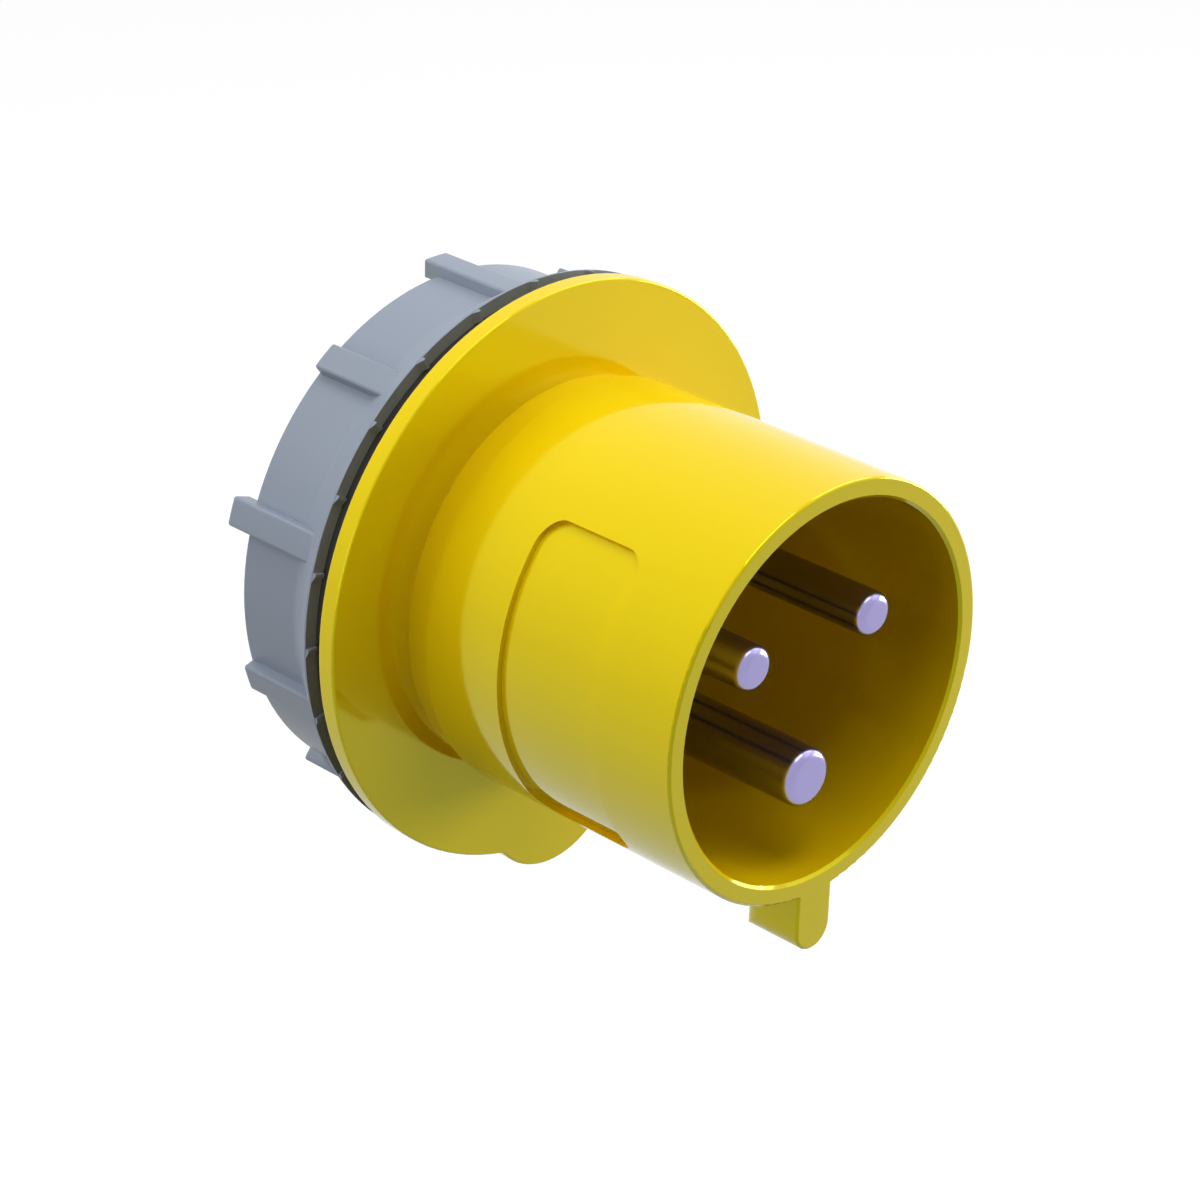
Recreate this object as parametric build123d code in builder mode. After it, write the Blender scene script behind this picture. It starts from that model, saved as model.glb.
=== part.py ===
from build123d import *
import os
from math import cos, radians, sin

# Panel-mounted industrial plug, two poles and earth, 32 A size, in millimetres.
# The plug's axis is Y. The mouth opens towards -Y, +Z is up, and y = 0 is the
# back face of the flange, which seats on the panel. Angles about the axis are
# measured from +X towards +Z, as seen when looking into the mouth.

os.makedirs("parts", exist_ok=True)

# Shroud
shroud_r = 28.5
shroud_wall = 2.75
shroud_length = 47.15
rim_round = 0.4

# Neck between the shroud and the flange
neck_step = 1.2
neck_length = 4.55

# Flange and its lobe at six o'clock
flange_r = 40.3
flange_thick = 2.65
flange_round = 0.3
lobe_r = 12.0
lobe_rise = 3.6
lobe_blend = 2.0

# Key under the mouth
key_width = 6.3
key_height = 8.4
key_length = 10.0

# Label recess on the left of the shroud
recess_width = 16.8
recess_height = 41.4
recess_depth = 0.8
recess_corner = 3.2
recess_from_mouth = 12.9

# Barrel behind the flange, which carries the ring nut
barrel_r = 33.0
barrel_wall = 3.5
barrel_length = 21.5
barrel_chamfer = 0.8

# Ledge inside the neck, which the contact carrier seats on
ledge_r = 21.0
ledge_depth = 45.0
ledge_thick = 6.0

# Panel gasket: a ring round the barrel
gasket_width = 4.7
gasket_thick = 3.0
gasket_gap = 0.3

# Ring nut: rim, cone and grip barrel
nut_gap = 0.9
nut_wall = 2.1
nut_flare = 3.8
nut_lip = 0.3
nut_cone_length = 6.0
nut_length = 16.35
nut_chamfer = 0.8
nut_blend = 2.5

# Grip ribs of the nut: every second one runs on past the rear face
rib_count = 10
rib_first_angle = 18
rib_height = 1.65
rib_sink = 0.8
rib_width = 4.0
rib_round = 0.4
rib_overrun = 2.75

# Ratchet teeth on the front face of the nut
tooth_count = 24
tooth_clearance = 0.2
tooth_end_gap = 0.05
tooth_height = 0.5
tooth_crest = 0.35
tooth_width = 1.3

# Contact carrier
carrier_gap = 0.2
carrier_plate = 5.0
groove_depth = 1.5
groove_width = 2.2
groove_from_front = 1.4
carrier_seal_section = 1.5
carrier_seal_gap = 0.05

# Retaining plate behind the carrier, with walls between the terminals
plate_gap = 0.4
plate_thick = 2.6
partition_thick = 1.6
partition_reach = 15.2
partition_height = 11.0

# Self-tapping screws that hold the carrier and the plate
tap_r = 1.45
tap_hole_gap = 0.05
tap_head_r = 2.4
tap_head_height = 1.6
tap_carrier_grip = 3.6
tap_plate_grip = 3.2
tap_hole_extra = 0.6
carrier_screw_inset = 0.4
carrier_screw_angle = 30
plate_screw_pitch_r = 18.0
plate_screw_angle = 90
slot_width = 0.8
slot_depth = 0.9
slot_turn = 25

# Contact pins
pin_pitch_r = 12.9
pin_from_mouth = 2.0
pin_tip_round = 1.3
pin_gap = 0.1
root_step = 0.8
earth_angle = 270
line_angle = 150
neutral_angle = 30
earth_pin_r = 4.0
phase_pin_r = 3.0
collar_step = 2.6
collar_length = 4.0
pin_seal_thick = 1.2
seal_gap = 0.05

# Wire terminals at the rear ends of the pins
terminal_step = 1.4
terminal_end = 28.0
terminal_chamfer = 0.5
terminal_gap = 0.2
wire_hole_wall = 1.8
wire_hole_depth = 14.0

# Wire screws, which press on the wires through spring leaves
wire_screw_from_end = 5.0
wire_screw_gap = 0.05
wire_screw_head_step = 0.9
wire_screw_head_height = 2.2
wire_screw_head_stand = 1.0
wire_slot_width = 1.0
wire_slot_depth = 1.2
earth_screw_r = 2.5
phase_screw_r = 2.0
leaf_gap = 0.05
leaf_thick = 0.4
leaf_width = 3.2
leaf_length = 11.0
leaf_tab = 1.2

# How far the cutting solids reach past what they cut
cut_margin = 1.0

# Places along the axis that follow from the sizes above
flange_front = -flange_thick
mouth = flange_front - shroud_length
neck_front = flange_front - neck_length
ledge_front = mouth + ledge_depth
ledge_back = ledge_front + ledge_thick
carrier_back = ledge_back + carrier_plate
plate_back = carrier_back + plate_thick
nut_front = gasket_thick
nut_back = nut_front + nut_length
collar_front = carrier_back - collar_length
seal_front = collar_front - pin_seal_thick
pin_tip = mouth + pin_from_mouth
wire_hole_end = terminal_end - wire_hole_depth
wire_screw_y = terminal_end - wire_screw_from_end
groove_front = ledge_back + groove_from_front
groove_back = groove_front + groove_width
groove_middle = (groove_front + groove_back) / 2

# Radii that follow from the sizes above
bore_r = shroud_r - shroud_wall
neck_r = shroud_r - neck_step
lobe_reach = flange_r + lobe_rise
key_reach = shroud_r + key_height
barrel_bore_r = barrel_r - barrel_wall
gasket_bore_r = barrel_r + gasket_gap
gasket_r = gasket_bore_r + gasket_width
nut_bore_r = barrel_r + nut_gap
nut_rear_r = nut_bore_r + nut_wall
nut_rim_r = nut_rear_r + nut_flare
rib_r = nut_rear_r + rib_height
rib_root_r = nut_rear_r - rib_sink
tooth_root_r = gasket_r + tooth_clearance
carrier_nose_r = ledge_r - carrier_gap
carrier_r = barrel_bore_r - carrier_gap
groove_floor_r = carrier_r - groove_depth
carrier_screw_pitch_r = (ledge_r + groove_floor_r) / 2 - carrier_screw_inset
plate_r = carrier_screw_pitch_r - tap_head_r - plate_gap
pins = ((earth_angle, earth_pin_r), (line_angle, phase_pin_r), (neutral_angle, phase_pin_r))


def across(y):
    """Plane square to the axis at y: local x is +X, local y is +Z, the normal faces the mouth."""
    return Plane.XZ.offset(-y)


def outward(angle, y, distance):
    """Plane at y and at a distance from the axis, its normal pointing away at the angle."""
    normal = Vector(cos(radians(angle)), 0, sin(radians(angle)))
    middle = Vector(0, y, 0) + normal * distance
    return Plane(origin=middle, x_dir=Vector(0, 1, 0).cross(normal), z_dir=normal)


def pin_place(angle):
    """Where a pin's axis crosses a plane square to the plug's axis."""
    return (pin_pitch_r * cos(radians(angle)), pin_pitch_r * sin(radians(angle)))


def grip_ribs(rear, first_angle):
    """Half of the grip ribs, evenly round the axis, from the nut's lip back to y = rear."""
    front = nut_front + nut_lip
    with BuildPart() as ribs:
        with BuildSketch(across(rear)):
            with PolarLocations((rib_root_r + rib_r) / 2, rib_count // 2, first_angle):
                Rectangle(rib_height + rib_sink + cut_margin, rib_width)
            Circle(rib_r, mode=Mode.INTERSECT)
            Circle(rib_root_r, mode=Mode.SUBTRACT)
        extrude(amount=rear - front)
        axis_middle = (0, (front + rear) / 2, 0)
        long_edges = ribs.edges().filter_by(Axis.Y).sort_by_distance(axis_middle)
        rear_edges = ribs.faces().filter_by(Axis.Y).group_by(Axis.Y)[-1].edges()
        fillet(long_edges[-rib_count:] + rear_edges, rib_round)
    return ribs.part


# Blank of the key: a half-round rib that also ends half round at the rear
with BuildPart() as key_blank:
    key_arc_z = key_reach - key_width / 2
    with BuildSketch(across(mouth + key_length)):
        with Locations((0, -key_arc_z)):
            Rectangle(key_width, key_arc_z - ledge_r, align=(Align.CENTER, Align.MIN))
            Circle(key_width / 2)
    extrude(amount=key_length)
    with BuildSketch(Plane.XY.offset(-key_reach)):
        with Locations((0, mouth)):
            Rectangle(key_width, key_length - key_width / 2, align=(Align.CENTER, Align.MIN))
        with Locations((0, mouth + key_length - key_width / 2)):
            Circle(key_width / 2)
    extrude(amount=key_reach, mode=Mode.INTERSECT)

# Blank of the label recess: a rounded pocket whose floor follows the shroud
with BuildPart() as recess_blank:
    recess_middle = mouth + recess_from_mouth + recess_width / 2
    with BuildSketch(Plane.YZ.offset(-shroud_r - cut_margin)):
        with Locations((recess_middle, 0)):
            RectangleRounded(recess_width, recess_height, recess_corner)
    extrude(amount=shroud_r)
    with BuildSketch(across(neck_front)):
        Circle(shroud_r - recess_depth)
    extrude(amount=neck_front - mouth, mode=Mode.SUBTRACT)

# Front housing: one moulding of shroud, key, neck, flange, lobe and barrel
with BuildPart() as front_housing:
    with BuildSketch(across(0)):
        Circle(flange_r)
        with Locations((0, lobe_r - lobe_reach)):
            Circle(lobe_r)
    extrude(amount=flange_thick)
    fillet(front_housing.edges().filter_by(Axis.Y).group_by(Axis.Z)[0], lobe_blend)
    fillet(front_housing.faces().filter_by(Axis.Y).edges(), flange_round)
    with BuildSketch(Plane.XY) as outer_section:
        with BuildLine():
            Polyline(
                (0, mouth), (shroud_r, mouth), (shroud_r, neck_front), (neck_r, neck_front),
                (neck_r, flange_front / 2), (barrel_r, flange_front / 2),
                (barrel_r, barrel_length), (0, barrel_length), close=True,
            )
        make_face()
        rear_corner = outer_section.vertices().group_by(Axis.Y)[-1].sort_by(Axis.X)[-1]
        chamfer(rear_corner, barrel_chamfer)
    revolve(axis=Axis.Y)
    add(key_blank.part)
    fillet(front_housing.faces().filter_by(Axis.Y).sort_by(Axis.Y)[0].edges(), rim_round)
    with BuildSketch(Plane.XY):
        with BuildLine():
            Polyline(
                (0, mouth), (bore_r + rim_round, mouth), (bore_r, mouth + rim_round),
                (bore_r, ledge_front), (ledge_r, ledge_front), (ledge_r, ledge_back),
                (barrel_bore_r, ledge_back), (barrel_bore_r, barrel_length),
                (0, barrel_length), close=True,
            )
        make_face()
    revolve(axis=Axis.Y, mode=Mode.SUBTRACT)
    add(recess_blank.part, mode=Mode.SUBTRACT)
    with BuildSketch(across(ledge_back)):
        with PolarLocations(carrier_screw_pitch_r, 3, carrier_screw_angle):
            Circle(tap_r + tap_hole_gap)
    extrude(amount=tap_carrier_grip + tap_hole_extra, mode=Mode.SUBTRACT)
front_housing.part.label = "front_housing"
export_step(front_housing.part, "parts/front_housing.step")

# Panel gasket: a flat ring between the flange and the panel
with BuildPart() as panel_gasket:
    with BuildSketch(across(gasket_thick)):
        Circle(gasket_r)
        Circle(gasket_bore_r, mode=Mode.SUBTRACT)
    extrude(amount=gasket_thick)
panel_gasket.part.label = "panel_gasket"
export_step(panel_gasket.part, "parts/panel_gasket.step")

# Ring nut, which clamps the plug to the panel from behind
with BuildPart() as ring_nut:
    with BuildSketch(Plane.XY) as nut_section:
        with BuildLine():
            Polyline(
                (nut_bore_r, nut_front), (nut_rim_r, nut_front), (nut_rim_r, nut_front + nut_lip),
                (nut_rear_r, nut_front + nut_cone_length), (nut_rear_r, nut_back),
                (nut_bore_r, nut_back), close=True,
            )
        make_face()
        fillet(nut_section.vertices().group_by(Axis.Y)[2], nut_blend)
        bore_corners = nut_section.vertices().group_by(Axis.X)[0]
        chamfer(bore_corners, nut_chamfer)
    revolve(axis=Axis.Y)
    add(grip_ribs(nut_back + rib_overrun, rib_first_angle))
    add(grip_ribs(nut_back, rib_first_angle + 360 / rib_count))
    for tooth in range(tooth_count):
        with BuildSketch(outward(tooth * 360 / tooth_count, nut_front, tooth_root_r)):
            with BuildLine():
                Polyline(
                    (0, nut_lip), (0, -tooth_height), (-tooth_crest, -tooth_height),
                    (-tooth_width, 0), (-tooth_width, nut_lip), close=True,
                )
            make_face()
        extrude(amount=nut_rim_r - tooth_root_r - tooth_end_gap)
ring_nut.part.label = "ring_nut"
export_step(ring_nut.part, "parts/ring_nut.step")

# Contact carrier: a nose that fills the ledge, on a plate that seats behind it
with BuildPart() as contact_carrier:
    with BuildSketch(Plane.XY):
        with BuildLine():
            Polyline(
                (0, ledge_front), (carrier_nose_r, ledge_front), (carrier_nose_r, ledge_back),
                (carrier_r, ledge_back), (carrier_r, groove_front), (groove_floor_r, groove_front),
                (groove_floor_r, groove_back), (carrier_r, groove_back),
                (carrier_r, carrier_back), (0, carrier_back), close=True,
            )
        make_face()
    revolve(axis=Axis.Y)
    with BuildSketch(across(carrier_back)):
        with PolarLocations(carrier_screw_pitch_r, 3, carrier_screw_angle):
            Circle(tap_r + tap_hole_gap)
        for angle, pin_r in pins:
            with Locations(pin_place(angle)):
                Circle(pin_r + root_step + pin_gap)
    extrude(amount=carrier_back - ledge_front, mode=Mode.SUBTRACT)
    with BuildSketch(across(carrier_back)):
        for angle, pin_r in pins:
            with Locations(pin_place(angle)):
                Circle(pin_r + collar_step + pin_gap)
    extrude(amount=carrier_back - seal_front, mode=Mode.SUBTRACT)
    with BuildSketch(across(carrier_back)):
        with PolarLocations(plate_screw_pitch_r, 3, plate_screw_angle):
            Circle(tap_r + tap_hole_gap)
    extrude(amount=tap_plate_grip + tap_hole_extra, mode=Mode.SUBTRACT)
contact_carrier.part.label = "contact_carrier"
export_step(contact_carrier.part, "parts/contact_carrier.step")

# Carrier seal: a rubber ring in the groove round the carrier
with BuildPart() as carrier_seal:
    with BuildSketch(Plane.XY):
        with Locations((groove_floor_r + carrier_seal_section / 2 + carrier_seal_gap, groove_middle)):
            Circle(carrier_seal_section / 2)
    revolve(axis=Axis.Y)
carrier_seal.part.label = "carrier_seal"
export_step(carrier_seal.part, "parts/carrier_seal.step")

# Retaining plate: holds the collars of the pins in the carrier
with BuildPart() as retaining_plate:
    with BuildSketch(across(plate_back)):
        Circle(plate_r)
        with PolarLocations(plate_screw_pitch_r, 3, plate_screw_angle):
            Circle(tap_r + tap_hole_gap, mode=Mode.SUBTRACT)
        for angle, pin_r in pins:
            with Locations(pin_place(angle)):
                Circle(pin_r + terminal_step + terminal_gap, mode=Mode.SUBTRACT)
    extrude(amount=plate_thick)
    with BuildSketch(across(plate_back + partition_height)):
        with PolarLocations(partition_reach / 2, 3, plate_screw_angle):
            Rectangle(partition_reach, partition_thick)
        Circle(partition_thick)
    extrude(amount=partition_height)
retaining_plate.part.label = "retaining_plate"
export_step(retaining_plate.part, "parts/retaining_plate.step")


def tapping_screws(pitch_r, first_angle, seat, grip):
    """Three slotted screws round the axis, heads on the plane y = seat, gripping forward."""
    with BuildPart() as screws:
        with BuildSketch(across(seat)):
            with PolarLocations(pitch_r, 3, first_angle):
                Circle(tap_r)
        extrude(amount=grip)
        with BuildSketch(across(seat + tap_head_height)):
            with PolarLocations(pitch_r, 3, first_angle):
                Circle(tap_head_r)
        extrude(amount=tap_head_height)
        with BuildSketch(across(seat + tap_head_height)):
            with PolarLocations(pitch_r, 3, first_angle):
                Rectangle(3 * tap_head_r, slot_width, rotation=slot_turn)
        extrude(amount=slot_depth, mode=Mode.SUBTRACT)
    return screws.part


# Carrier screws, from behind through the carrier into the ledge
with BuildPart() as carrier_screws:
    add(tapping_screws(
        carrier_screw_pitch_r, carrier_screw_angle, carrier_back, carrier_plate + tap_carrier_grip
    ))
carrier_screws.part.label = "carrier_screws"
export_step(carrier_screws.part, "parts/carrier_screws.step")

# Plate screws, from behind through the retaining plate into the carrier
with BuildPart() as plate_screws:
    add(tapping_screws(
        plate_screw_pitch_r, plate_screw_angle, plate_back, plate_thick + tap_plate_grip
    ))
plate_screws.part.label = "plate_screws"
export_step(plate_screws.part, "parts/plate_screws.step")


def contact_pin(angle, pin_r, screw_r):
    """A turned pin: contact, root, collar, and a terminal with its wire hole and screw hole."""
    terminal_r = pin_r + terminal_step
    with BuildPart() as pin:
        with BuildSketch(across(terminal_end)):
            with Locations(pin_place(angle)):
                Circle(terminal_r)
        extrude(amount=terminal_end - carrier_back)
        chamfer(pin.faces().sort_by(Axis.Y)[-1].edges(), terminal_chamfer)
        with BuildSketch(across(carrier_back)):
            with Locations(pin_place(angle)):
                Circle(pin_r + collar_step)
        extrude(amount=collar_length)
        with BuildSketch(across(collar_front)):
            with Locations(pin_place(angle)):
                Circle(pin_r + root_step)
        extrude(amount=collar_front - ledge_front)
        with BuildSketch(across(ledge_front)):
            with Locations(pin_place(angle)):
                Circle(pin_r)
        extrude(amount=ledge_front - pin_tip)
        fillet(pin.faces().sort_by(Axis.Y)[0].edges(), pin_tip_round)
        with BuildSketch(across(terminal_end)):
            with Locations(pin_place(angle)):
                Circle(terminal_r - wire_hole_wall)
        extrude(amount=wire_hole_depth, mode=Mode.SUBTRACT)
        with BuildSketch(outward(angle, wire_screw_y, pin_pitch_r)):
            Circle(screw_r + wire_screw_gap)
        extrude(amount=terminal_r + cut_margin, mode=Mode.SUBTRACT)
    return pin.part


def wire_screw(angle, pin_r, screw_r):
    """A slotted screw that points at the pin's axis, its head standing off the terminal."""
    head_under = pin_pitch_r + pin_r + terminal_step + wire_screw_head_stand
    tip = pin_pitch_r + pin_r + terminal_step - wire_hole_wall + leaf_gap
    with BuildPart() as screw:
        with BuildSketch(outward(angle, wire_screw_y, tip)):
            Circle(screw_r)
        extrude(amount=head_under - tip)
        with BuildSketch(outward(angle, wire_screw_y, head_under)):
            Circle(screw_r + wire_screw_head_step)
        extrude(amount=wire_screw_head_height)
        with BuildSketch(outward(angle, wire_screw_y, head_under + wire_screw_head_height)):
            Rectangle(4 * screw_r, wire_slot_width, rotation=slot_turn)
        extrude(amount=-wire_slot_depth, mode=Mode.SUBTRACT)
    return screw.part


def wire_leaf(angle, pin_r):
    """A curved spring leaf under the wire screw, its tab hooked over the terminal's end."""
    leaf_r = pin_r + terminal_step - wire_hole_wall - leaf_gap
    end = terminal_end + leaf_gap + leaf_thick
    middle = pin_place(angle)
    reach = leaf_r + leaf_tab + cut_margin
    outer_side = (Align.MIN, Align.CENTER)
    with BuildPart() as leaf:
        with BuildSketch(across(terminal_end + leaf_gap)):
            with Locations(middle):
                Circle(leaf_r)
                Circle(leaf_r - leaf_thick, mode=Mode.SUBTRACT)
            with Locations(Location(middle, angle)):
                Rectangle(reach, leaf_width, align=outer_side, mode=Mode.INTERSECT)
        extrude(amount=leaf_length)
        with BuildSketch(across(end)):
            with Locations(middle):
                Circle(leaf_r + leaf_tab)
                Circle(leaf_r - leaf_thick, mode=Mode.SUBTRACT)
            with Locations(Location(middle, angle)):
                Rectangle(reach, leaf_width, align=outer_side, mode=Mode.INTERSECT)
        extrude(amount=leaf_thick)
    return leaf.part


def pin_seal(angle, pin_r):
    """A flat rubber ring round a pin, between its collar and the floor of its pocket."""
    with BuildPart() as seal:
        with BuildSketch(across(collar_front)):
            with Locations(pin_place(angle)):
                Circle(pin_r + collar_step)
                Circle(pin_r + root_step + seal_gap, mode=Mode.SUBTRACT)
        extrude(amount=pin_seal_thick)
    return seal.part


# Earth pin with its seal, screw and leaf
with BuildPart() as earth_pin:
    add(contact_pin(earth_angle, earth_pin_r, earth_screw_r))
earth_pin.part.label = "earth_pin"
export_step(earth_pin.part, "parts/earth_pin.step")

with BuildPart() as earth_pin_seal:
    add(pin_seal(earth_angle, earth_pin_r))
earth_pin_seal.part.label = "earth_pin_seal"
export_step(earth_pin_seal.part, "parts/earth_pin_seal.step")

with BuildPart() as earth_wire_screw:
    add(wire_screw(earth_angle, earth_pin_r, earth_screw_r))
earth_wire_screw.part.label = "earth_wire_screw"
export_step(earth_wire_screw.part, "parts/earth_wire_screw.step")

with BuildPart() as earth_wire_leaf:
    add(wire_leaf(earth_angle, earth_pin_r))
earth_wire_leaf.part.label = "earth_wire_leaf"
export_step(earth_wire_leaf.part, "parts/earth_wire_leaf.step")

# Line pin with its seal and leaf
with BuildPart() as line_pin:
    add(contact_pin(line_angle, phase_pin_r, phase_screw_r))
line_pin.part.label = "line_pin"
export_step(line_pin.part, "parts/line_pin.step")

with BuildPart() as line_pin_seal:
    add(pin_seal(line_angle, phase_pin_r))
line_pin_seal.part.label = "line_pin_seal"
export_step(line_pin_seal.part, "parts/line_pin_seal.step")

with BuildPart() as line_wire_leaf:
    add(wire_leaf(line_angle, phase_pin_r))
line_wire_leaf.part.label = "line_wire_leaf"
export_step(line_wire_leaf.part, "parts/line_wire_leaf.step")

# Neutral pin with its seal and leaf
with BuildPart() as neutral_pin:
    add(contact_pin(neutral_angle, phase_pin_r, phase_screw_r))
neutral_pin.part.label = "neutral_pin"
export_step(neutral_pin.part, "parts/neutral_pin.step")

with BuildPart() as neutral_pin_seal:
    add(pin_seal(neutral_angle, phase_pin_r))
neutral_pin_seal.part.label = "neutral_pin_seal"
export_step(neutral_pin_seal.part, "parts/neutral_pin_seal.step")

with BuildPart() as neutral_wire_leaf:
    add(wire_leaf(neutral_angle, phase_pin_r))
neutral_wire_leaf.part.label = "neutral_wire_leaf"
export_step(neutral_wire_leaf.part, "parts/neutral_wire_leaf.step")

# Wire screws of the line and neutral pins, which are alike
with BuildPart() as phase_wire_screws:
    add(wire_screw(line_angle, phase_pin_r, phase_screw_r))
    add(wire_screw(neutral_angle, phase_pin_r, phase_screw_r))
phase_wire_screws.part.label = "phase_wire_screws"
export_step(phase_wire_screws.part, "parts/phase_wire_screws.step")
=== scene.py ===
import bpy
from math import hypot, radians
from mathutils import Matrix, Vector


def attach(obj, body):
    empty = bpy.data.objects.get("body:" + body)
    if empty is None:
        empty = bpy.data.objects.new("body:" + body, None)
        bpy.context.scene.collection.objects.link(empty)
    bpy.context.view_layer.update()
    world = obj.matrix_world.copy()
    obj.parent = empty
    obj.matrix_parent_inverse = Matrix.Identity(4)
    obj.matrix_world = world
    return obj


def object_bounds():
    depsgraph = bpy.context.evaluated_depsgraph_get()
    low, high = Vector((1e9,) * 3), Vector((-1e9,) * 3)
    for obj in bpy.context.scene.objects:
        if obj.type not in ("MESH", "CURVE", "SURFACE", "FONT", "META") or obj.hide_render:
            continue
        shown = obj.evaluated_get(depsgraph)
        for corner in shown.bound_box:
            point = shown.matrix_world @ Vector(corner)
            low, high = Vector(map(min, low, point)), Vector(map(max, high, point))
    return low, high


bl_info = {
    "name": "Panel plug dressing",
    "version": (1, 0, 0),
    "blender": (4, 5, 0),
    "location": "3D View > Sidebar > Plug",
    "description": "Finishes, small details and a studio for a panel-mounted industrial plug",
    "category": "Object",
}

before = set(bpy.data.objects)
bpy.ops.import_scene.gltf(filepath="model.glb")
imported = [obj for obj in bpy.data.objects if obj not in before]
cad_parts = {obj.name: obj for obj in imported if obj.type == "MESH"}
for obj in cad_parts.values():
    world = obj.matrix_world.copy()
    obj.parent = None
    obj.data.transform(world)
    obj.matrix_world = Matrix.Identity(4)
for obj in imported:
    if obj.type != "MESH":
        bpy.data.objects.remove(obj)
cad_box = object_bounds()

MM = 0.001
MICRON = 0.000001
SENSOR_WIDTH = 36

# Threads: how smooth they look, and how their ends run into the wall
SMOOTH_ANGLE = radians(25)
END_SHARE = 0.6
END_PLANE = 0.1 * MM
RUN_OUT = 0.05 * MM


def radii(name, start=-1.0):
    """Distances from the plug's axis of a CAD node's points, from a place on the axis rearwards."""
    points = [point.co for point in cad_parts[name].data.vertices]
    return [hypot(place.x, place.z) for place in points if place.y > start]


BEHIND_FLANGE = 1 * MM
BARREL_RADIUS = max(radii("front_housing", BEHIND_FLANGE))
NUT_BORE_RADIUS = min(radii("ring_nut"))


class PlugSizes(bpy.types.PropertyGroup):
    """Sizes that the dressing adds to the frame's own."""

    thread_pitch: bpy.props.FloatProperty(
        name="Thread pitch", description="Distance from one turn of the barrel's thread to the next",
        default=3.0 * MM, min=0.5 * MM, max=10 * MM, precision=5, subtype="DISTANCE", unit="LENGTH",
    )
    thread_height: bpy.props.FloatProperty(
        name="Thread height", description="How far the barrel's thread stands out",
        default=0.55 * MM, min=0.1 * MM, max=0.8 * MM, precision=5, subtype="DISTANCE", unit="LENGTH",
    )
    nut_thread_height: bpy.props.FloatProperty(
        name="Nut thread height", description="How far the nut's thread stands into its bore",
        default=0.25 * MM, min=0.05 * MM, max=0.3 * MM, precision=5, subtype="DISTANCE", unit="LENGTH",
    )
    thread_base: bpy.props.FloatProperty(
        name="Thread base", description="Width of a thread at its root",
        default=1.8 * MM, min=0.3 * MM, max=3 * MM, precision=5, subtype="DISTANCE", unit="LENGTH",
    )
    thread_crest: bpy.props.FloatProperty(
        name="Thread crest", description="Width of a thread at its top",
        default=0.7 * MM, min=0.1 * MM, max=2 * MM, precision=5, subtype="DISTANCE", unit="LENGTH",
    )
    thread_sink: bpy.props.FloatProperty(
        name="Thread sink", description="How far a thread's root reaches into its own piece",
        default=0.15 * MM, min=0.05 * MM, max=1 * MM, precision=5, subtype="DISTANCE", unit="LENGTH",
    )
    thread_start: bpy.props.FloatProperty(
        name="Thread start", description="Middle of the barrel's first turn, from the flange's back face",
        default=4.2 * MM, min=3 * MM, max=20 * MM, precision=5, subtype="DISTANCE", unit="LENGTH",
    )
    thread_turns: bpy.props.IntProperty(
        name="Thread turns", description="Turns of the barrel's thread", default=5, min=1, max=8,
    )
    thread_steps: bpy.props.IntProperty(
        name="Thread steps", description="Faces along one turn", default=72, min=24, max=180,
    )
    barrel_radius: bpy.props.FloatProperty(
        name="Barrel radius", description="Radius of the CAD model's barrel",
        default=BARREL_RADIUS, min=10 * MM, max=80 * MM, precision=5, subtype="DISTANCE", unit="LENGTH",
    )
    nut_bore_radius: bpy.props.FloatProperty(
        name="Nut bore radius", description="Radius of the CAD model's ring nut inside",
        default=NUT_BORE_RADIUS, min=10 * MM, max=80 * MM, precision=5, subtype="DISTANCE", unit="LENGTH",
    )


class PlugColours(bpy.types.PropertyGroup):
    """Colours of the plug's finishes."""

    housing: bpy.props.FloatVectorProperty(
        name="Housing", description="Glossy yellow of the front housing",
        default=(0.9, 0.6, 0.002), size=3, min=0, max=1, subtype="COLOR",
    )
    nut: bpy.props.FloatVectorProperty(
        name="Ring nut", description="Light blue-grey of the ring nut",
        default=(0.262, 0.302, 0.372), size=3, min=0, max=1, subtype="COLOR",
    )
    # The violet tint of the contact colour is a painted bluish reflection; the plating itself is bright
    # and nearly neutral.
    contact: bpy.props.FloatVectorProperty(
        name="Contacts", description="Bright plating of the contact pins",
        default=(0.35, 0.32, 0.58), size=3, min=0, max=1, subtype="COLOR",
    )


class PlugStudio(bpy.types.PropertyGroup):
    """The camera, the lamps and the floor."""

    camera_place: bpy.props.FloatVectorProperty(
        name="Camera place", description="Where the camera stands",
        default=(-0.310748, -0.308557, 0.210517), size=3, precision=5, subtype="XYZ", unit="LENGTH",
    )
    camera_turn: bpy.props.FloatVectorProperty(
        name="Camera turn", description="How the camera is turned",
        default=(radians(63.802), radians(-1.581), radians(-45.376)), size=3, precision=5,
        subtype="EULER", unit="ROTATION",
    )
    camera_lens: bpy.props.FloatProperty(
        name="Lens", description="Focal length on a 36 mm sensor",
        default=109.73, min=20, max=300, unit="CAMERA",
    )
    floor_drop: bpy.props.FloatProperty(
        name="Floor drop", description="How far the floor lies below the plug",
        default=0.06, min=0, max=1, subtype="DISTANCE", unit="LENGTH",
    )
    floor_shade: bpy.props.FloatProperty(
        name="Floor shade", description="How much of the floor's look comes from its shading",
        default=0.12, min=0, max=1, subtype="FACTOR",
    )
    floor_size: bpy.props.FloatProperty(
        name="Floor size", description="Length of the floor's sides",
        default=6, min=1, max=20, subtype="DISTANCE", unit="LENGTH",
    )
    floor_white: bpy.props.FloatProperty(
        name="Floor white", description="Brightness of the rest of the floor's look",
        default=1.06, min=0, max=2,
    )
    air_light: bpy.props.FloatProperty(
        name="Air light", description="Strength of the even light from all round",
        default=0.09, min=0, max=2,
    )


def deselect():
    bpy.ops.object.select_all(action="DESELECT")


def new_material(name):
    """A new node material, and its shader."""
    material = bpy.data.materials.new(name)
    material.use_nodes = True
    shader = material.node_tree.nodes["Principled BSDF"]
    return material, shader


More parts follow.
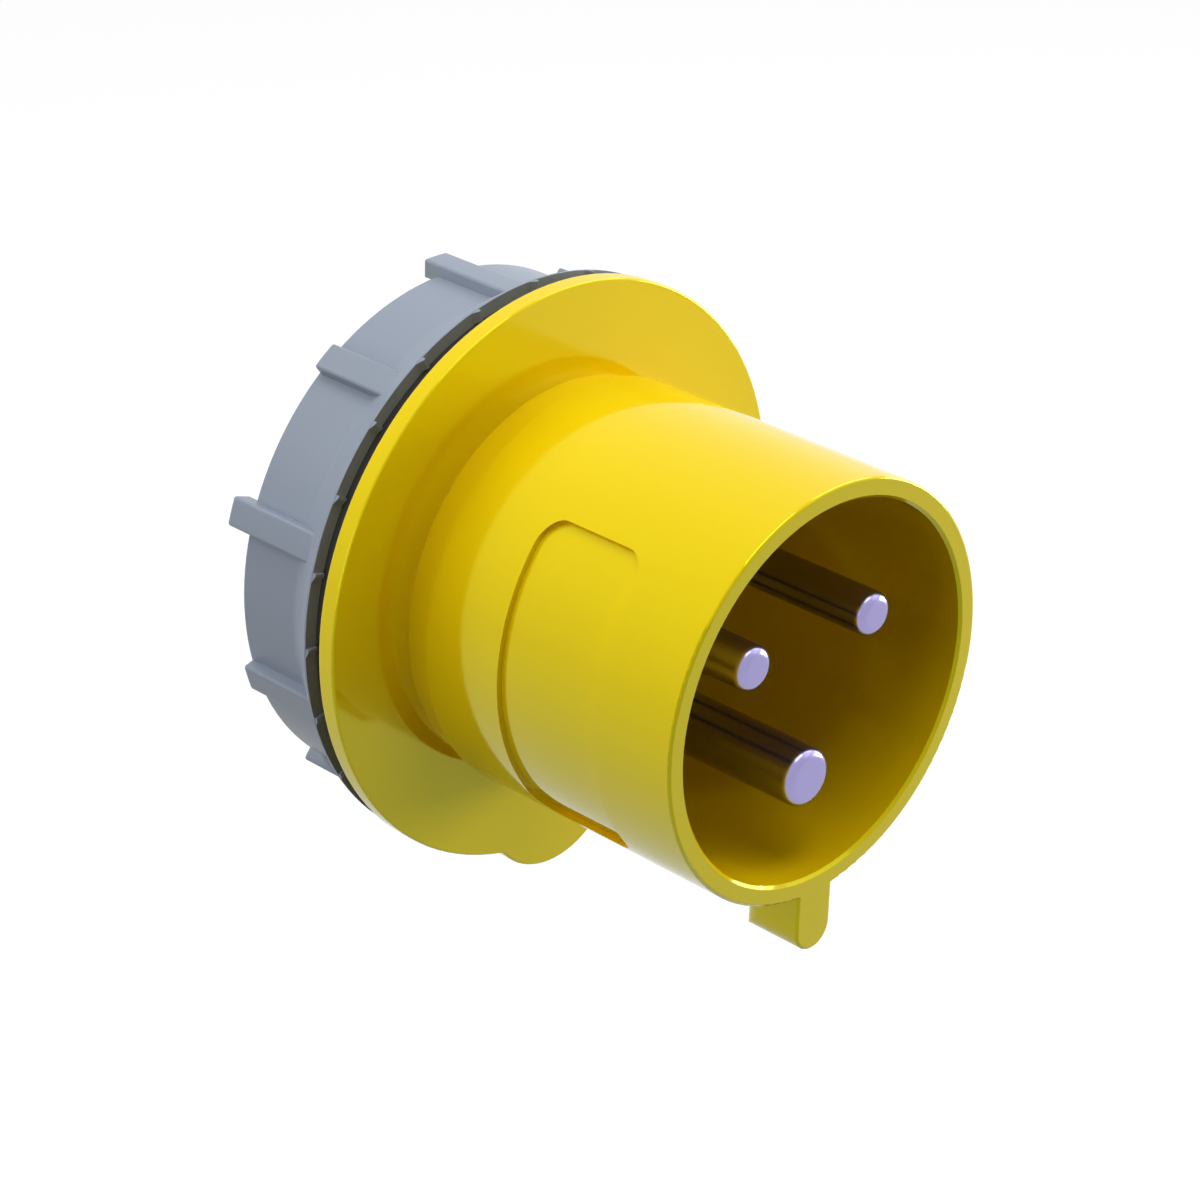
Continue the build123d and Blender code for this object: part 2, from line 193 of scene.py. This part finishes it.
def add_node(material, kind, **values):
    """A node of that kind, with values for its own settings and its named inputs."""
    node = material.node_tree.nodes.new(kind)
    for key, value in values.items():
        if hasattr(node, key):
            setattr(node, key, value)
        else:
            node.inputs[key.replace("_", " ").title()].default_value = value
    return node


def link(material, out_node, out_name, in_node, in_name):
    material.node_tree.links.new(out_node.outputs[out_name], in_node.inputs[in_name])


def noise_on_object(material, scale, detail=4.0, stretch=(1, 1, 1)):
    """Noise in the piece's own coordinates, stretched along its axes."""
    place = add_node(material, "ShaderNodeTexCoord")
    mapping = add_node(material, "ShaderNodeMapping")
    mapping.inputs["Scale"].default_value = stretch
    noise = add_node(material, "ShaderNodeTexNoise", scale=scale, detail=detail)
    link(material, place, "Object", mapping, "Vector")
    link(material, mapping, "Vector", noise, "Vector")
    return noise


def vary_value(material, source, low, high, shader, socket):
    """A shader value that follows a texture between two limits."""
    spread = add_node(material, "ShaderNodeMapRange")
    spread.inputs["To Min"].default_value = low
    spread.inputs["To Max"].default_value = high
    link(material, source, "Fac", spread, "Value")
    link(material, spread, "Result", shader, socket)


def vary_colour(material, source, dark, light, shader):
    """A base colour that follows a texture between two colours."""
    mix = add_node(material, "ShaderNodeMix", data_type="RGBA")
    first, second = [socket for socket in mix.inputs if socket.type == "RGBA"]
    first.default_value = (*dark, 1)
    second.default_value = (*light, 1)
    result = [socket for socket in mix.outputs if socket.type == "RGBA"][0]
    link(material, source, "Fac", mix, "Factor")
    material.node_tree.links.new(result, shader.inputs["Base Color"])


def add_bump(material, source, height, shader):
    bump = add_node(material, "ShaderNodeBump")
    bump.inputs["Strength"].default_value = 1.0
    bump.inputs["Distance"].default_value = height
    link(material, source, "Fac", bump, "Height")
    link(material, bump, "Normal", shader, "Normal")


def times(colour, factor):
    return tuple(channel * factor for channel in colour)


def glossy_moulding(colour):
    """Polished mould finish with faint flow waves."""
    material, shader = new_material("housing_plastic")
    shader.inputs["IOR"].default_value = 1.75
    shader.inputs["Specular IOR Level"].default_value = 1.0
    shader.inputs["Specular Tint"].default_value = (0.66, 0.93, 0.03, 1)
    flow = noise_on_object(material, 55.0, stretch=(1, 0.4, 1))
    vary_colour(material, flow, times(colour, 0.97), colour, shader)
    vary_value(material, flow, 0.06, 0.10, shader, "Roughness")
    grain = noise_on_object(material, 900.0, detail=2.0)
    add_bump(material, grain, 2 * MICRON, shader)
    return material


def satin_moulding(colour):
    """Fine spark-eroded mould finish."""
    material, shader = new_material("nut_plastic")
    shader.inputs["IOR"].default_value = 1.5
    cloud = noise_on_object(material, 70.0)
    vary_colour(material, cloud, times(colour, 0.94), times(colour, 1.03), shader)
    vary_value(material, cloud, 0.38, 0.46, shader, "Roughness")
    grain = noise_on_object(material, 2500.0, detail=2.0)
    add_bump(material, grain, 12 * MICRON, shader)
    return material


def matt_moulding():
    """Black insulating plastic."""
    material, shader = new_material("carrier_plastic")
    cloud = noise_on_object(material, 120.0)
    vary_colour(material, cloud, (0.012, 0.012, 0.013), (0.022, 0.022, 0.024), shader)
    vary_value(material, cloud, 0.42, 0.55, shader, "Roughness")
    grain = noise_on_object(material, 2200.0, detail=2.0)
    add_bump(material, grain, 15 * MICRON, shader)
    return material


def black_rubber():
    """Plain rubber with a dusty bloom."""
    material, shader = new_material("black_rubber")
    bloom = noise_on_object(material, 160.0, detail=6.0)
    vary_colour(material, bloom, (0.008, 0.008, 0.009), (0.022, 0.022, 0.023), shader)
    vary_value(material, bloom, 0.6, 0.75, shader, "Roughness")
    grain = noise_on_object(material, 1800.0)
    add_bump(material, grain, 20 * MICRON, shader)
    return material


def turned_plating(colour):
    """Bright plating over turned brass, with fine rings round the pin."""
    material, shader = new_material("plated_brass")
    shader.inputs["Metallic"].default_value = 1.0
    rings = noise_on_object(material, 60.0, stretch=(0.5, 40, 0.5))
    # The given colour's violet tint is a painted bluish reflection, laid into the base colour.
    vary_colour(material, rings, times(colour, 0.92), colour, shader)
    vary_value(material, rings, 0.20, 0.28, shader, "Roughness")
    add_bump(material, rings, 4 * MICRON, shader)
    return material


def zinc_steel():
    """Zinc-plated steel with a slight mottle."""
    material, shader = new_material("screw_steel")
    shader.inputs["Metallic"].default_value = 1.0
    mottle = noise_on_object(material, 500.0, detail=6.0)
    vary_colour(material, mottle, (0.50, 0.50, 0.52), (0.66, 0.66, 0.68), shader)
    vary_value(material, mottle, 0.25, 0.4, shader, "Roughness")
    add_bump(material, mottle, 10 * MICRON, shader)
    return material


def rolled_brass():
    """Bare spring brass with rolling lines along the strip."""
    material, shader = new_material("spring_brass")
    shader.inputs["Metallic"].default_value = 1.0
    lines = noise_on_object(material, 300.0, stretch=(8, 0.3, 8))
    vary_colour(material, lines, (0.62, 0.42, 0.14), (0.76, 0.54, 0.22), shader)
    vary_value(material, lines, 0.22, 0.34, shader, "Roughness")
    add_bump(material, lines, 5 * MICRON, shader)
    return material


def finish_nodes(material, *names):
    """Gives CAD nodes a material in place of their own."""
    for name in names:
        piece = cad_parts[name]
        piece.data.materials.clear()
        piece.data.materials.append(material)


class PLUG_OT_housing(bpy.types.Operator):
    """Finish the front housing in glossy yellow plastic"""

    bl_idname = "plug.housing"
    bl_label = "Front housing"

    def execute(self, context):
        finish_nodes(glossy_moulding(tuple(context.scene.plug_colours.housing)), "front_housing")
        return {"FINISHED"}


class PLUG_OT_ring_nut(bpy.types.Operator):
    """Finish the ring nut in satin blue-grey plastic"""

    bl_idname = "plug.ring_nut"
    bl_label = "Ring nut"

    def execute(self, context):
        finish_nodes(satin_moulding(tuple(context.scene.plug_colours.nut)), "ring_nut")
        return {"FINISHED"}


def select_points(piece, test):
    """In edit mode, selects the points whose place passes the test."""
    bpy.ops.mesh.select_mode(type="VERT")
    bpy.ops.mesh.select_all(action="DESELECT")
    bpy.ops.object.mode_set(mode="OBJECT")
    for point in piece.data.vertices:
        point.select = test(point.co)
    bpy.ops.object.mode_set(mode="EDIT")


def add_thread(sizes, name, radius, height, start, turns, material, body):
    """A right-hand ridge round the plug's axis, on a wall. A height below 0 stands inward."""
    side = 1 if height > 0 else -1
    depth = abs(height) + sizes.thread_sink
    middle = radius + height - side * depth / 2
    crest = radius + height
    deselect()
    bpy.ops.mesh.primitive_plane_add(size=1, location=(0, 0, 0))
    ridge = bpy.context.object
    ridge.name = name
    bpy.ops.object.mode_set(mode="EDIT")
    bpy.ops.mesh.select_all(action="SELECT")
    bpy.ops.transform.resize(value=(depth, sizes.thread_base, 1), center_override=(0, 0, 0))
    bpy.ops.transform.translate(value=(middle, start, 0))
    select_points(ridge, lambda place: side * (place.x - middle) > 0)
    narrow = sizes.thread_crest / sizes.thread_base
    bpy.ops.transform.resize(value=(1, narrow, 1), center_override=(crest, start, 0))
    bpy.ops.mesh.select_all(action="SELECT")
    bpy.ops.mesh.delete(type="ONLY_FACE")
    bpy.ops.object.mode_set(mode="OBJECT")

    bpy.ops.object.modifier_add(type="SCREW")
    turning = ridge.modifiers[-1]
    turning.axis = "Y"
    turning.screw_offset = sizes.thread_pitch
    turning.iterations = turns
    turning.steps = turning.render_steps = sizes.thread_steps
    bpy.ops.object.modifier_apply(modifier=turning.name)

    # Both ends run out into the wall and are closed
    finish = start + turns * sizes.thread_pitch
    reach = sizes.thread_base * END_SHARE
    bpy.ops.object.mode_set(mode="EDIT")
    select_points(ridge, lambda place: place.x > 0 and abs(place.z) < END_PLANE and min(
        abs(place.y - start), abs(place.y - finish)
    ) < reach)
    bpy.ops.transform.translate(value=(-height - side * RUN_OUT, 0, 0))
    bpy.ops.mesh.select_all(action="SELECT")
    bpy.ops.mesh.fill_holes(sides=4)
    bpy.ops.mesh.normals_make_consistent(inside=False)
    bpy.ops.object.mode_set(mode="OBJECT")
    bpy.ops.object.shade_smooth_by_angle(angle=SMOOTH_ANGLE)
    ridge.data.materials.append(material)
    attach(ridge, body)


class PLUG_OT_threads(bpy.types.Operator):
    """Add the moulded threads of the barrel and of the ring nut"""

    bl_idname = "plug.threads"
    bl_label = "Threads"

    def execute(self, context):
        sizes = context.scene.plug_sizes
        add_thread(
            sizes, "barrel_thread", sizes.barrel_radius, sizes.thread_height,
            sizes.thread_start, sizes.thread_turns,
            bpy.data.materials["housing_plastic"], "plug",
        )
        add_thread(
            sizes, "nut_thread", sizes.nut_bore_radius, -sizes.nut_thread_height,
            sizes.thread_start + sizes.thread_pitch / 2, sizes.thread_turns - 1,
            bpy.data.materials["nut_plastic"], "nut",
        )
        return {"FINISHED"}


class PLUG_OT_rubber(bpy.types.Operator):
    """Finish the gasket and the seals in black rubber"""

    bl_idname = "plug.rubber"
    bl_label = "Gasket and seals"

    def execute(self, context):
        finish_nodes(
            black_rubber(), "panel_gasket", "carrier_seal", "earth_pin_seal", "line_pin_seal",
            "neutral_pin_seal",
        )
        return {"FINISHED"}


class PLUG_OT_carrier(bpy.types.Operator):
    """Finish the contact carrier and its retaining plate in matt black plastic"""

    bl_idname = "plug.carrier"
    bl_label = "Contact carrier"

    def execute(self, context):
        finish_nodes(matt_moulding(), "contact_carrier", "retaining_plate")
        return {"FINISHED"}


class PLUG_OT_contacts(bpy.types.Operator):
    """Finish the pins in bright plating"""

    bl_idname = "plug.contacts"
    bl_label = "Contact pins"

    def execute(self, context):
        # This colour carries a painted violet reflection tint.
        colour = tuple(context.scene.plug_colours.contact)
        finish_nodes(turned_plating(colour), "earth_pin", "line_pin", "neutral_pin")
        return {"FINISHED"}


class PLUG_OT_fasteners(bpy.types.Operator):
    """Finish the screws in zinc-plated steel and the spring leaves in brass"""

    bl_idname = "plug.fasteners"
    bl_label = "Screws and spring leaves"

    def execute(self, context):
        finish_nodes(
            zinc_steel(), "carrier_screws", "plate_screws", "earth_wire_screw", "phase_wire_screws",
        )
        finish_nodes(rolled_brass(), "earth_wire_leaf", "line_wire_leaf", "neutral_wire_leaf")
        return {"FINISHED"}


def white_to_camera(tree, shaded, share, strength):
    """Mixes white light into a shader for camera, mirror and transmitted rays only."""
    nodes = tree.nodes
    rays = nodes.new("ShaderNodeLightPath")
    mirror = nodes.new("ShaderNodeMath")
    mirror.operation = "MAXIMUM"
    tree.links.new(rays.outputs["Is Camera Ray"], mirror.inputs[0])
    tree.links.new(rays.outputs["Is Glossy Ray"], mirror.inputs[1])
    seen = nodes.new("ShaderNodeMath")
    seen.operation = "MAXIMUM"
    tree.links.new(mirror.outputs[0], seen.inputs[0])
    tree.links.new(rays.outputs["Is Transmission Ray"], seen.inputs[1])
    part = nodes.new("ShaderNodeMath")
    part.operation = "MULTIPLY"
    part.inputs[1].default_value = share
    tree.links.new(seen.outputs[0], part.inputs[0])
    white = nodes.new("ShaderNodeEmission")
    white.inputs["Strength"].default_value = strength
    mix = nodes.new("ShaderNodeMixShader")
    tree.links.new(part.outputs[0], mix.inputs["Fac"])
    tree.links.new(shaded.outputs[0], mix.inputs[1])
    tree.links.new(white.outputs[0], mix.inputs[2])
    return mix


def add_lamp(name, place, size, power, mirrored=True):
    """A square area lamp that faces the plug. One that isn't mirrored lights it without glare."""
    deselect()
    bpy.ops.object.light_add(type="AREA", location=place)
    lamp = bpy.context.object
    lamp.name = name
    lamp.rotation_euler = Vector(place).to_track_quat("Z", "Y").to_euler()
    lamp.data.shape = "SQUARE"
    lamp.data.size = size
    lamp.data.energy = power
    lamp.visible_glossy = mirrored


class PLUG_OT_stage(bpy.types.Operator):
    """Set up the camera, the lamps, the world and the floor"""

    bl_idname = "plug.stage"
    bl_label = "Studio"

    def execute(self, context):
        studio = context.scene.plug_studio
        floor_height = cad_box[0][2] - studio.floor_drop

        deselect()
        bpy.ops.object.camera_add(location=studio.camera_place, rotation=studio.camera_turn)
        camera = context.object
        camera.name = "camera"
        camera.data.lens = studio.camera_lens
        camera.data.sensor_width = SENSOR_WIDTH
        context.scene.camera = camera

        deselect()
        bpy.ops.mesh.primitive_plane_add(size=studio.floor_size, location=(0, 0, floor_height))
        floor = context.object
        floor.name = "floor"
        bpy.ops.object.transform_apply(location=True, rotation=True, scale=True)
        paint, shader = new_material("floor_paint")
        shader.inputs["Base Color"].default_value = (0.8, 0.8, 0.8, 1)
        shader.inputs["Roughness"].default_value = 0.9
        mix = white_to_camera(
            paint.node_tree, shader, share=1 - studio.floor_shade, strength=studio.floor_white
        )
        output = paint.node_tree.nodes["Material Output"]
        paint.node_tree.links.new(mix.outputs[0], output.inputs["Surface"])
        floor.data.materials.append(paint)
        floor.visible_diffuse = False

        world = bpy.data.worlds.new("studio_world")
        context.scene.world = world
        world.use_nodes = True
        air = world.node_tree.nodes["Background"]
        air.inputs["Color"].default_value = (1, 1, 1, 1)
        air.inputs["Strength"].default_value = studio.air_light
        mix = white_to_camera(world.node_tree, air, share=1, strength=1)
        output = world.node_tree.nodes["World Output"]
        world.node_tree.links.new(mix.outputs[0], output.inputs["Surface"])

        add_lamp("top_lamp", (0, -0.12, 0.58), size=0.35, power=1.5)
        add_lamp("upper_right_lamp", (0.42, -0.02, 0.42), size=0.35, power=1.0)
        add_lamp("right_lamp", (0.6, -0.08, 0.07), size=0.3, power=1.0)
        add_lamp("front_right_lamp", (0.36, -0.32, 0.36), size=0.35, power=0.3)
        add_lamp("low_right_lamp", (0.53, -0.26, 0.0), size=0.2, power=1.5)
        add_lamp("front_lamp", (0.06, -0.6, 0.0), size=0.2, power=0.3, mirrored=False)
        add_lamp("left_lamp", (-0.6, 0.02, 0.08), size=0.3, power=0.75)
        add_lamp("rear_left_lamp", (-0.37, 0.28, 0.37), size=0.35, power=1.4, mirrored=False)
        add_lamp("rear_top_lamp", (0, 0.34, 0.48), size=0.35, power=0.8, mirrored=False)
        return {"FINISHED"}


class PLUG_PT_panel(bpy.types.Panel):
    """Lists the plug's sizes, colours and studio, and the operators that make them"""

    bl_idname = "PLUG_PT_panel"
    bl_label = "Plug"
    bl_space_type = "VIEW_3D"
    bl_region_type = "UI"
    bl_category = "Plug"

    def draw(self, context):
        layout = self.layout
        for group in [getattr(context.scene, name) for name in property_groups]:
            box = layout.box()
            for name in group.bl_rna.properties.keys():
                if name not in ("rna_type", "name"):
                    box.prop(group, name)
        for operator in operators:
            layout.operator(operator.bl_idname)


operators = (
    PLUG_OT_stage, PLUG_OT_housing, PLUG_OT_ring_nut, PLUG_OT_threads, PLUG_OT_rubber,
    PLUG_OT_carrier, PLUG_OT_contacts, PLUG_OT_fasteners,
)
property_groups = {"plug_sizes": PlugSizes, "plug_colours": PlugColours, "plug_studio": PlugStudio}


def register():
    for name, group in property_groups.items():
        bpy.utils.register_class(group)
        setattr(bpy.types.Scene, name, bpy.props.PointerProperty(type=group))
    for operator in operators:
        bpy.utils.register_class(operator)
    bpy.utils.register_class(PLUG_PT_panel)


def unregister():
    bpy.utils.unregister_class(PLUG_PT_panel)
    for operator in reversed(operators):
        bpy.utils.unregister_class(operator)
    for name, group in property_groups.items():
        delattr(bpy.types.Scene, name)
        bpy.utils.unregister_class(group)


def main():
    register()
    bpy.context.scene.view_settings.view_transform = "Standard"
    bpy.ops.plug.stage()
    bpy.ops.plug.housing()
    bpy.ops.plug.ring_nut()
    bpy.ops.plug.threads()
    bpy.ops.plug.rubber()
    bpy.ops.plug.carrier()
    bpy.ops.plug.contacts()
    bpy.ops.plug.fasteners()


if __name__ == "__main__":
    main()
